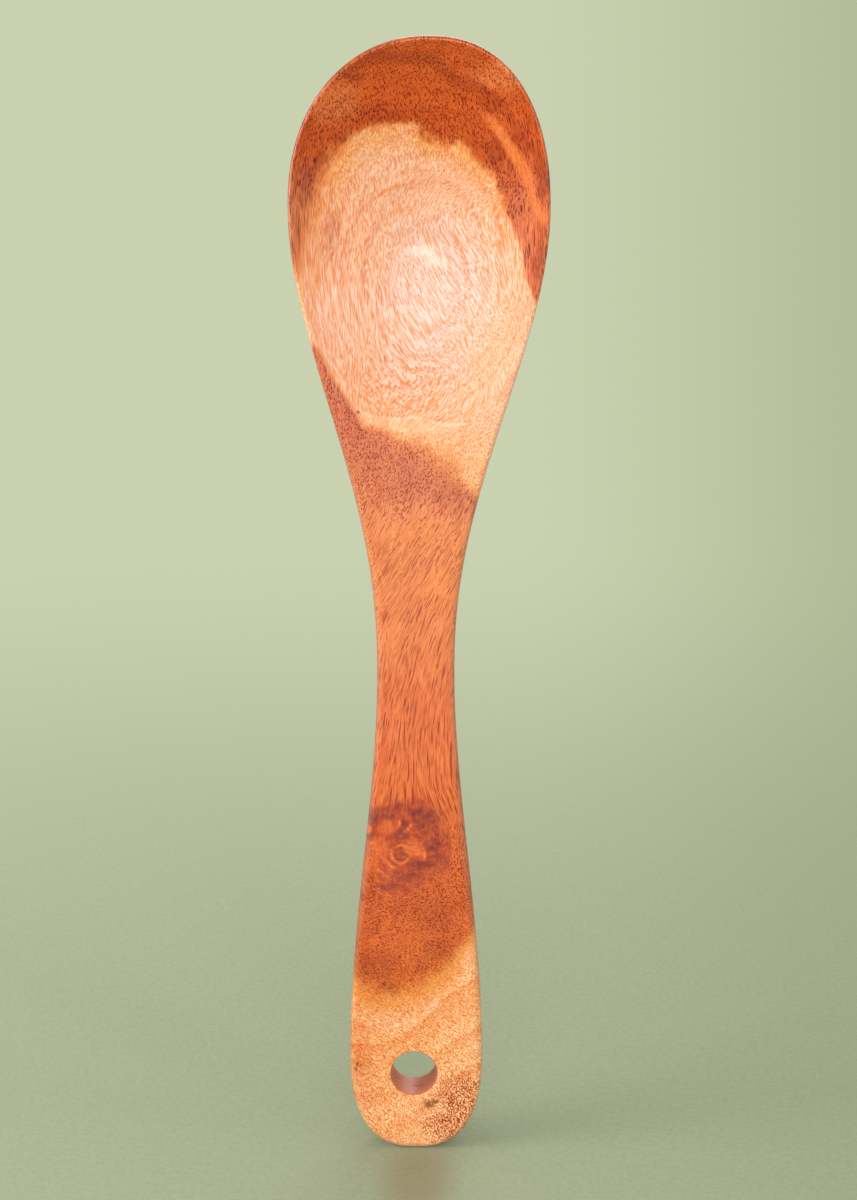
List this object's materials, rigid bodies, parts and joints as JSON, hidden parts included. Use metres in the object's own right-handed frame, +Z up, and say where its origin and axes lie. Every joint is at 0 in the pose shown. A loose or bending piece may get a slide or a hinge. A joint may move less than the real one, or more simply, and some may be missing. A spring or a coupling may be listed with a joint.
{
  "type": "wooden ladle",
  "caption": "Carved wooden ladle with an egg-shaped hollow bowl, a flat waisted handle and a round hanging hole through its wide end.",
  "frame": {"origin": "middle of the handle's waist, where a hand holds it, half way through its thickness", "axes": "+Z up the handle to the bowl, the hollow of the bowl and the front of the handle face -Y, +X to the right seen from the front"},
  "size_m": [0.066, 0.0264, 0.3],
  "materials": {
    "oiled_wood": "oiled satin, orange-brown heartwood with pale sapwood"
  },
  "bodies": {
    "root": {"ladle": "oiled_wood"}
  },
  "joints": []
}
